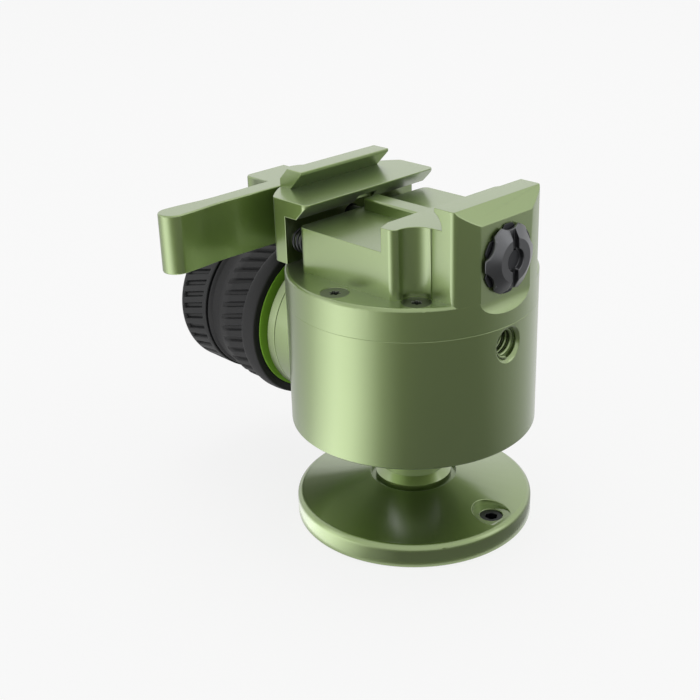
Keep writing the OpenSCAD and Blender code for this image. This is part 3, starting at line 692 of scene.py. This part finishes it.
        # A corner can throw a vertex off the surface, and it is put back there
        for vertex in obj.data.vertices:
            nearest, _, _, away = skin.find_nearest(vertex.co)
            if away > mm(width):
                vertex.co = nearest
        bpy.ops.object.shade_smooth_by_angle(
            angle=math.radians(SMOOTH), keep_sharp_edges=True
        )
        weigh = obj.modifiers.new("flats", "WEIGHTED_NORMAL")
        weigh.keep_sharp = True
        bpy.ops.object.modifier_apply(modifier=weigh.name)


@dataclass
class SubAssembly:
    """Pieces that are made together and share the frame."""

    frame: dict = field(repr=False)

    def finish(
        self,
        piece: bpy.types.Object,
        body: str,
        slot: Slot,
        look: Finish,
        stands_for: Sequence[str] = (),
    ) -> None:
        """Gives a new piece its material and its body.

        Args:
            piece: The new piece.
            body: The body that it moves with.
            slot: The record's material slot; not used.
            look: The finish.
            stands_for: Nodes that it takes the place of.
        """
        piece.data.materials.clear()
        piece.data.materials.append(look.make())
        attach(piece, body)
        if stands_for:
            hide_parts(*stands_for)
        LOG.info("%s: %d faces on %s", piece.name, len(piece.data.polygons), body)

    def coat(self, node: str, look: Finish) -> None:
        """Gives a node of the frame its material and leaves its mesh alone."""
        kept = self.frame["nodes"][node]
        if not kept.material_slots:
            kept.data.materials.append(look.make())
        for place in kept.material_slots:
            place.link = "OBJECT"
            place.material = look.make()
        LOG.info("%s: kept", node)

    def machined(
        self,
        node: str,
        name: str,
        body: str,
        slot: Slot,
        look: Finish,
        width: float,
        angle: float = 30,
        spare: Callable[[Vector], bool] | None = None,
    ) -> None:
        """Makes a piece from a copy of a node, with the edges broken as by a cutter.

        Args:
            node: The node that is copied and replaced.
            name: Name of the new piece.
            body: The body that it moves with.
            slot: The record's material slot.
            look: The finish.
            width: Width of the broken edges, in millimetres.
            angle: Least angle of an edge that is broken, in degrees.
            spare: Takes a place and says whether the edges there stay lines.
        """
        source = self.frame["nodes"][node]
        piece = bpy.data.objects.new(name, source.data.copy())
        piece.data.name = name
        bpy.context.scene.collection.objects.link(piece)
        Bench.edit(piece)
        bpy.ops.mesh.remove_doubles(threshold=mm(WELD))
        bpy.ops.mesh.dissolve_limited(
            angle_limit=math.radians(FLAT), use_dissolve_boundaries=False
        )
        Bench.close()
        Bench.round_edges(piece, width, angle=angle, spare=spare)
        self.finish(piece, body, slot, look, [node])


@dataclass
class Foot(SubAssembly):
    """The foot with its stem, tripod thread and set screw."""

    edge: float = 0.15
    thread_d: float = 9.525
    thread_pitch: float = 1.5875
    thread_depth: float = 10.5
    thread_from: float = 0.4
    thread_steps: int = 40
    crest_share: float = 0.86

    def build(self) -> None:
        """Builds and dresses the foot."""
        self.machined(
            "foot_plate", "foot_disc", "base", Slot.ANODISED, OLIVE_TURNED, self.edge
        )
        self.coat("stem", OLIVE_TURNED)
        self.machined(
            "foot_set_screw",
            "foot_grub_screw",
            "base",
            Slot.BLACK_STEEL,
            BLACK_OXIDE,
            width=0.1,
        )
        low = self.thread_from + self.thread_pitch * RIDGE_HALF
        turns = math.floor((self.thread_depth - 1) / self.thread_pitch)
        thread = Bench.helix(
            "tripod_thread_turns",
            thread_section(self.thread_d, self.thread_pitch, self.crest_share),
            self.thread_pitch,
            turns,
            Vector((0, 0, mm(low))),
            Along.UP,
            self.thread_steps,
        )
        self.finish(thread, "base", Slot.ANODISED, OLIVE_TURNED)


@dataclass
class BallAndSeats(SubAssembly):
    """The ball with the seats that hold it."""

    def build(self) -> None:
        """Dresses the pieces that sit inside the housing."""
        self.coat("ball", BALL_CHROME)
        self.coat("lower_seat", ACETAL)
        self.coat("upper_seat", ACETAL)
        self.coat("spring_washer", BRIGHT_STEEL)
        self.coat("brake_shoe", BRASS)
        self.coat("thrust_washer", BRIGHT_STEEL)


@dataclass
class Housing(SubAssembly):
    """The cylindrical housing with its boss and its accessory thread."""

    edge: float = 0.14
    thread_d: float = 6.35
    thread_pitch: float = 1.27
    thread_z: float = 48.2
    thread_from: float = 20.9
    thread_turns: int = 4
    thread_steps: int = 36
    crest_share: float = 0.8

    def build(self) -> None:
        """Builds and dresses the housing."""
        self.machined(
            "housing", "housing_body", "head", Slot.ANODISED, OLIVE_TURNED, self.edge
        )
        self.machined(
            "boss_ring",
            "boss_face_ring",
            "head",
            Slot.ANODISED,
            OLIVE_BLASTED,
            width=0.1,
        )
        thread = Bench.helix(
            "accessory_thread_turns",
            thread_section(self.thread_d, self.thread_pitch, self.crest_share),
            self.thread_pitch,
            self.thread_turns,
            Vector((mm(self.thread_from), 0, mm(self.thread_z))),
            Along.NUT,
            self.thread_steps,
        )
        self.finish(thread, "head", Slot.ANODISED, OLIVE_BLASTED)


@dataclass
class Clamp(SubAssembly):
    """The clamp base with its screws, the moving jaw, its rods and springs."""

    edge: float = 0.16
    plain_below: float = 62
    spring_y: float = 15.4
    spring_z: float = 64.5
    spring_d: float = 4.8
    wire_d: float = 0.6
    wire_sides: int = 10
    spring_from: float = 9.47
    spring_pitch: float = 1.157
    spring_turns: int = 7
    spring_steps: int = 28

    def build(self) -> None:
        """Builds and dresses the clamp."""
        self.machined(
            "clamp_base",
            "clamp_block",
            "head",
            Slot.ANODISED,
            OLIVE_BLASTED,
            self.edge,
            spare=self.low_down,
        )
        self.machined(
            "clamp_screws",
            "six_lobe_screws",
            "head",
            Slot.BLACK_STEEL,
            SCREW_STEEL,
            width=0.03,
        )
        self.machined(
            "moving_jaw", "sliding_jaw", "jaw", Slot.ANODISED, OLIVE_BLASTED, self.edge
        )
        self.coat("guide_rods", BRIGHT_STEEL)
        self.springs()

    def low_down(self, place: Vector) -> bool:
        """Says whether a place is on the platform, where fine edges meet."""
        return place.z < mm(self.plain_below)

    def springs(self) -> None:
        """Winds the two return springs of round wire."""
        sides = self.wire_sides
        section = [
            (
                self.spring_d / 2 + self.wire_d / 2 * math.cos(FULL_TURN * k / sides),
                self.wire_d / 2 * math.sin(FULL_TURN * k / sides),
            )
            for k in range(sides)
        ]
        made = []
        for name, side in (("return_spring_near", -1), ("return_spring_far", 1)):
            start = Vector(
                (mm(-self.spring_from), mm(side * self.spring_y), mm(self.spring_z))
            )
            spring = Bench.helix(
                name,
                section,
                self.spring_pitch,
                self.spring_turns,
                start,
                Along.KNOB,
                self.spring_steps,
            )
            Bench.take(spring)
            bpy.ops.object.shade_smooth_by_angle(angle=math.radians(SMOOTH))
            # Black oxide darkens the springs as painted shade, so that they stay dark
            # in the gap between the jaws
            self.finish(spring, "jaw", Slot.STEEL, BLACK_OXIDE)
            made.append(spring)
        for spring in made:
            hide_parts("return_springs")


@dataclass
class Knob(SubAssembly):
    """The locking knob: collar, rubber grip and the dial at its end."""

    axis_z: float = 38.2
    ribs: int = 40
    columns: int = 8
    groove_depth: float = 0.7
    bore_r: float = 12.5
    collar_r: float = 17.0
    collar_to: float = 33.1
    grip_from: float = 31.9
    grip_w: float = 18.6
    grip_r: float = 19.1
    face_r: float = 18.9
    rib_r: float = 18.4
    shoulder_r: float = 17.98
    waist_r: float = 17.0
    dial_from: float = 50.9
    dial_w: float = 9.6
    dial_r: float = 17.9
    dial_bore_r: float = 6.8
    dial_floor: float = 5.8
    screw_r: float = 4.06
    gap: float = 0.02
    edge: float = 0.1
    edge_angle: float = 24
    # Rise of the ribs around the knob for each length along it
    rib_lean: float = 0.28

    def build(self) -> None:
        """Builds and dresses the knob."""
        self.coat("knob_shaft", BRIGHT_STEEL)
        self.coat("knob_core", BRIGHT_STEEL)
        # The collar's brighter, greener olive is painted bounce light
        self.machined(
            "knob_collar",
            "collar_ring",
            "knob",
            Slot.ANODISED,
            OLIVE_MATT_PAINTED_LIGHT,
            width=0.15,
        )
        self.machined(
            "dial_screw",
            "dial_cap_screw",
            "knob",
            Slot.BLACK_STEEL,
            BLACK_OXIDE,
            width=0.12,
        )
        self.grip()
        self.dial()

    def centre(self) -> Vector:
        """The point of the knob's axis at the ball's centre."""
        return Vector((0, 0, mm(self.axis_z)))

    def column(self, place: Vector) -> int:
        """Number of the facet line that a place lies on, counted within one rib."""
        turn = math.atan2(place.y, place.z - mm(self.axis_z)) / FULL_TURN
        return round(turn * self.ribs * self.columns) % self.columns

    def groove(
        self, piece: bpy.types.Object, radius: float, low: float, high: float
    ) -> None:
        """Presses the grooves between the ribs into a band of a turned piece.

        Args:
            piece: The turned piece.
            radius: Radius of the band, in millimetres.
            low: Near end of the grooves from the ball, in millimetres.
            high: Far end of the grooves, in millimetres.
        """
        lines = {0, 1, self.columns - 1}

        def inside(place: Vector) -> bool:
            off = math.hypot(place.y, place.z - mm(self.axis_z))
            return (
                mm(low) < -place.x < mm(high)
                and off > mm(radius - self.groove_depth)
                and self.column(place) in lines
            )

        Bench.pick(piece, inside)
        shrink = (radius - self.groove_depth) / radius
        bpy.ops.transform.resize(
            value=(1, shrink, shrink), center_override=tuple(self.centre())
        )
        Bench.close()

    def lean(self, piece: bpy.types.Object) -> None:
        """Lets the ribs of a turned piece run at a slant to the axis.

        Args:
            piece: The turned piece, whose round outline stays as it is.
        """
        centre = self.centre()
        for vertex in piece.data.vertices:
            angle = self.rib_lean * -vertex.co.x / mm(self.rib_r)
            turn = Matrix.Rotation(angle, 3, "X")
            vertex.co = centre + turn @ (vertex.co - centre)

    def ribbed(
        self,
        name: str,
        profile: Sequence[tuple[float, float]],
        radius: float,
        low: float,
        high: float,
    ) -> bpy.types.Object:
        """Turns an outline around the knob's axis and presses its ribs.

        Args:
            name: Name of the new piece.
            profile: Radius and place along the axis of each corner, in millimetres.
            radius: Radius of the ribbed band, in millimetres.
            low: Near end of the grooves from the ball, in millimetres.
            high: Far end of the grooves, in millimetres.

        Returns:
            The ribbed piece, without its material.
        """
        piece = Bench.lathe(name, profile, self.centre(), self.ribs * self.columns)
        self.groove(piece, radius, low, high)
        self.lean(piece)
        Bench.round_edges(
            piece, self.edge, angle=self.edge_angle, crisp=self.edge_angle
        )
        return piece

    def grip(self) -> None:
        """Builds the rubber grip."""
        start, width = self.grip_from + self.gap, self.grip_w
        rise = self.grip_r - self.face_r
        bore, collar_end = self.bore_r + self.gap, self.collar_to + self.gap
        # The face towards the housing, with the seat of the collar
        profile = [
            (bore, collar_end),
            (self.collar_r + 0.07, collar_end),
            (self.collar_r + 0.07, start),
            (self.face_r - 0.42, start),
            (self.face_r - 0.2, start + 0.07),
            (self.face_r - 0.05, start + 0.24),
            (self.face_r + 0.02, start + 0.5),
        ]
        # The smooth round band, down to the foot of the ribs
        profile += [
            (self.face_r + rise * up, start + width * share)
            for share, up in (
                (0.06, 0.6),
                (0.1, 0.93),
                (0.14, 1.0),
                (0.18, 0.96),
                (0.205, 0.6),
                (0.222, -0.1),
                (0.234, -1.2),
            )
        ]
        # The ribs, with close rows where their grooves begin
        profile += [
            (self.rib_r, start + width * share)
            for share in (0.246, 0.252, 0.262, 0.35, 0.45, 0.54, 0.58)
        ]
        # The shoulder, the waist and the end towards the dial
        profile += [
            (self.shoulder_r, start + width * 0.68),
            (self.shoulder_r - 0.36, start + width * 0.74),
            (self.shoulder_r - 0.74, start + width * 0.79),
            (self.waist_r + 0.08, start + width * 0.83),
            (self.waist_r, start + width * 0.87),
            (self.waist_r, start + width * 0.94),
            (self.waist_r + 0.4, start + width * 0.97),
            (self.waist_r + 0.5, start + width - self.gap),
            (bore, start + width - self.gap),
        ]
        piece = self.ribbed(
            "rubber_grip",
            profile,
            self.rib_r,
            start + width * 0.257,
            start + width * 0.63,
        )
        self.finish(piece, "knob", Slot.RUBBER, RUBBER, ["knob_grip"])

    def dial(self) -> None:
        """Builds the ribbed dial at the knob's end."""
        start, end = self.dial_from, self.dial_from + self.dial_w
        radius = self.dial_r
        floor = start + self.dial_floor
        # Rows on both sides of the grooves' ends keep the walls there steep
        profile = [
            (self.screw_r, start),
            (radius - 0.25, start),
            (radius - 0.07, start + 0.07),
            (radius, start + 0.25),
            (radius, start + 1.25),
            (radius, start + 1.5),
            (radius, start + 4.5),
            (radius, end - 1.25),
            (radius, end - 0.95),
            (radius, end - 0.55),
            (radius - 0.08, end - 0.24),
            (radius - 0.24, end - 0.08),
            (radius - 0.55, end),
            (self.dial_bore_r + 0.5, end),
            (self.dial_bore_r, end - 0.5),
            (self.dial_bore_r, floor),
            (self.screw_r, floor),
        ]
        piece = self.ribbed(
            "friction_dial_ring", profile, radius, start + 1.4, end - 1
        )
        self.finish(
            piece, "dial", Slot.RUBBER_DIAL, DIAL_POLYAMIDE, ["friction_dial"]
        )


@dataclass
class TensionDrive(SubAssembly):
    """The star nut, its washer, the tie rod with its pin, and the lever."""

    def build(self) -> None:
        """Builds and dresses the pieces that close the clamp."""
        self.machined(
            "star_nut", "lobed_nut", "nut", Slot.NUT, NUT_GREY, width=0.14, angle=40
        )
        self.machined(
            "nut_washer",
            "nut_seat_washer",
            "head",
            Slot.BLACK_STEEL,
            BLACK_OXIDE,
            width=0.06,
        )
        self.coat("tie_rod", BLACK_OXIDE)
        self.coat("pivot_pin", BRIGHT_STEEL)
        self.machined(
            "lever",
            "clamp_lever",
            "lever_part",
            Slot.ANODISED,
            OLIVE_BLASTED,
            width=0.35,
        )


@dataclass
class Studio:
    """The floor, the world, the lamps and the camera."""

    camera_place: tuple[float, float, float] = (0.16944, -0.17637, 0.14778)
    camera_right: tuple[float, float, float] = (0.69089, 0.72231, -0.03050)
    camera_up: tuple[float, float, float] = (-0.27395, 0.30061, 0.91356)
    camera_back: tuple[float, float, float] = (0.66905, -0.62282, 0.40556)
    lens: float = 62.67
    sensor: float = 36
    clip: tuple[float, float] = (0.01, 20)
    # Strength of the surrounding as a light; it shows as a plain white
    ambient: float = 0.7
    floor_size: float = 4.0
    floor_drop: float = 0.05
    # Share of its own white that the floor shows instead of the light on it
    floor_glow: float = 0.8
    lamp_aim_z: float = 0.04
    ring_near: float = 27.5
    ring_far: float = 750
    ring_rise: float = 0.4
    ring_steps: int = 96
    # Angle to the right of the camera, in degrees, and brightness, where one is white
    ring_light: tuple[tuple[float, float], ...] = (
        (-180, 0.6),
        (-120, 0.6),
        (-98, 0.85),
        (-68, 2.4),
        (-52, 2.1),
        (-28, 0.5),
        (-12, 0.2),
        (55, 0.2),
        (100, 0.55),
        (130, 0.8),
        (180, 0.65),
    )

    def build(self) -> None:
        """Builds the studio around the object."""
        self.camera()
        self.world()
        self.floor()
        self.card()
        self.lamps()

    def ahead(self) -> float:
        """Angle around the object at which the camera stands, in radians."""
        return math.atan2(self.camera_back[1], self.camera_back[0])

    def camera(self) -> None:
        """Places the camera at the angle of the photograph."""
        data = bpy.data.cameras.new("camera")
        data.sensor_width = self.sensor
        data.lens = self.lens
        data.clip_start, data.clip_end = self.clip
        camera = bpy.data.objects.new("camera", data)
        bpy.context.scene.collection.objects.link(camera)
        sides = (self.camera_right, self.camera_up, self.camera_back)
        turn = Matrix(sides).transposed()
        camera.matrix_world = Matrix.Translation(self.camera_place) @ turn.to_4x4()
        bpy.context.scene.camera = camera

    @staticmethod
    def seen(tree: bpy.types.NodeTree) -> bpy.types.NodeSocket:
        """Gives one for the rays that show the background, also in metal and glass.

        Args:
            tree: The node tree of a world or a material.

        Returns:
            A socket that is one for camera, glossy and transmitted rays.
        """
        path = add_node(tree, "ShaderNodeLightPath")
        first = add_node(
            tree,
            "ShaderNodeMath",
            settings={"operation": "MAXIMUM"},
            links={
                0: path.outputs["Is Camera Ray"],
                1: path.outputs["Is Glossy Ray"],
            },
        )
        return add_node(
            tree,
            "ShaderNodeMath",
            settings={"operation": "MAXIMUM"},
            links={
                0: first.outputs["Value"],
                1: path.outputs["Is Transmission Ray"],
            },
        ).outputs["Value"]

    def world(self) -> None:
        """Makes a white surrounding that lights the object at a plain level."""
        world = bpy.data.worlds.new("studio")
        bpy.context.scene.world = world
        tree = empty_tree(world)
        light, white = (
            add_node(
                tree,
                "ShaderNodeBackground",
                values={"Color": linear("FFFFFF"), "Strength": strength},
            )
            for strength in (self.ambient, 1.0)
        )
        mix = add_node(
            tree,
            "ShaderNodeMixShader",
            links={
                0: self.seen(tree),
                1: light.outputs["Background"],
                2: white.outputs["Background"],
            },
        )
        add_node(
            tree, "ShaderNodeOutputWorld", links={"Surface": mix.outputs["Shader"]}
        )

    def floor(self) -> None:
        """Lays a plain pale floor that keeps a soft shadow."""
        bpy.ops.object.select_all(action="DESELECT")
        bpy.ops.mesh.primitive_plane_add(
            size=self.floor_size, location=(0, 0, mm(-self.floor_drop))
        )
        floor = bpy.context.object
        floor.name = "floor"
        bpy.ops.object.transform_apply(location=True, rotation=True, scale=True)
        material = bpy.data.materials.new("painted_floor")
        tree = empty_tree(material)
        paint = add_node(
            tree, "ShaderNodeBsdfDiffuse", values={"Color": linear("F2F2F2")}
        )
        glow = add_node(
            tree,
            "ShaderNodeEmission",
            values={"Color": linear("FFFFFF"), "Strength": 1.0},
        )
        share = add_node(
            tree,
            "ShaderNodeMath",
            settings={"operation": "MULTIPLY"},
            values={1: self.floor_glow},
            links={0: self.seen(tree)},
        )
        mix = add_node(
            tree,
            "ShaderNodeMixShader",
            links={
                0: share.outputs["Value"],
                1: paint.outputs["BSDF"],
                2: glow.outputs["Emission"],
            },
        )
        add_node(
            tree, "ShaderNodeOutputMaterial", links={"Surface": mix.outputs["Shader"]}
        )
        floor.data.materials.append(material)

    def card(self) -> None:
        """Lays a ring of light on the floor that only reflections show."""
        rise = mm(self.ring_rise)
        points = [Vector((mm(r), 0, rise)) for r in (self.ring_near, self.ring_far)]
        card = Bench.outline("reflected_ring", points, closed=False)
        axis = Vector(Along.UP.value)
        Bench.spin(card, self.ring_steps, axis * rise, axis)
        card.visible_camera = False
        card.visible_shadow = False
        card.visible_diffuse = False
        material = bpy.data.materials.new("graded_cloth")
        tree = empty_tree(material)
        place = add_node(tree, "ShaderNodeTexCoord").outputs["Object"]
        turned = add_node(
            tree,
            "ShaderNodeMapping",
            values={"Rotation": (0, 0, -self.ahead())},
            links={"Vector": place},
        )
        around = add_node(
            tree,
            "ShaderNodeTexGradient",
            settings={"gradient_type": "RADIAL"},
            links={"Vector": turned.outputs["Vector"]},
        )
        ramp = add_node(
            tree, "ShaderNodeValToRGB", links={"Fac": around.outputs["Fac"]}
        )
        stops = ramp.color_ramp.elements
        stops[0].position = 0
        stops[1].position = 1
        for turn, _ in self.ring_light[1:-1]:
            stops.new(turn / 360 + 0.5)
        brightest = max(light for _, light in self.ring_light)
        for stop, (_, light) in zip(stops, self.ring_light):
            grey = light / brightest
            stop.color = (grey, grey, grey, 1)
        glow = add_node(
            tree,
            "ShaderNodeEmission",
            values={"Strength": brightest},
            links={"Color": ramp.outputs["Color"]},
        )
        add_node(
            tree,
            "ShaderNodeOutputMaterial",
            links={"Surface": glow.outputs["Emission"]},
        )
        card.data.materials.append(material)

    def lamp(
        self,
        name: str,
        side: float,
        rise: float,
        distance: float,
        size: tuple[float, float],
        radiance: float,
    ) -> None:
        """Hangs one soft box, aimed at the object.

        Args:
            name: Name of the lamp.
            side: Angle to the right of the camera, in degrees.
            rise: Angle above the floor, in degrees.
            distance: Distance from the object, in metres.
            size: Width and height, in metres.
            radiance: Brightness of its face, where one is white.
        """
        turn = self.ahead() + math.radians(side)
        lift = math.radians(rise)
        way = Vector(
            (
                math.cos(turn) * math.cos(lift),
                math.sin(turn) * math.cos(lift),
                math.sin(lift),
            )
        )
        data = bpy.data.lights.new(name, "AREA")
        data.shape = "RECTANGLE"
        data.size, data.size_y = size
        data.energy = radiance * math.pi * size[0] * size[1]
        lamp = bpy.data.objects.new(name, data)
        lamp.location = way * distance + Vector((0, 0, self.lamp_aim_z))
        lamp.rotation_euler = way.to_track_quat("Z", "Y").to_euler()
        bpy.context.scene.collection.objects.link(lamp)

    def lamps(self) -> None:
        """Hangs the key lamp at the left, a fill at the right and one overhead."""
        for name, side, rise, distance, size, radiance in (
            ("key_lamp", -82, 12, 0.7, (0.28, 0.5), 0.8),
            ("fill_lamp", 75, 25, 0.9, (0.4, 0.5), 0.8),
            ("top_lamp", 160, 70, 0.9, (0.5, 0.5), 1.0),
        ):
            self.lamp(name, side, rise, distance, size, radiance)


def main() -> None:
    """Builds the object and the studio."""
    logging.basicConfig(level=logging.INFO, format="%(name)s: %(message)s")
    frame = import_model()
    scene = bpy.context.scene
    scene.view_settings.view_transform = "Standard"
    Studio().build()
    for kind in (Foot, BallAndSeats, Housing, Clamp, Knob, TensionDrive):
        LOG.info("%s", kind.__name__)
        kind(frame).build()


if __name__ == "__main__":
    main()
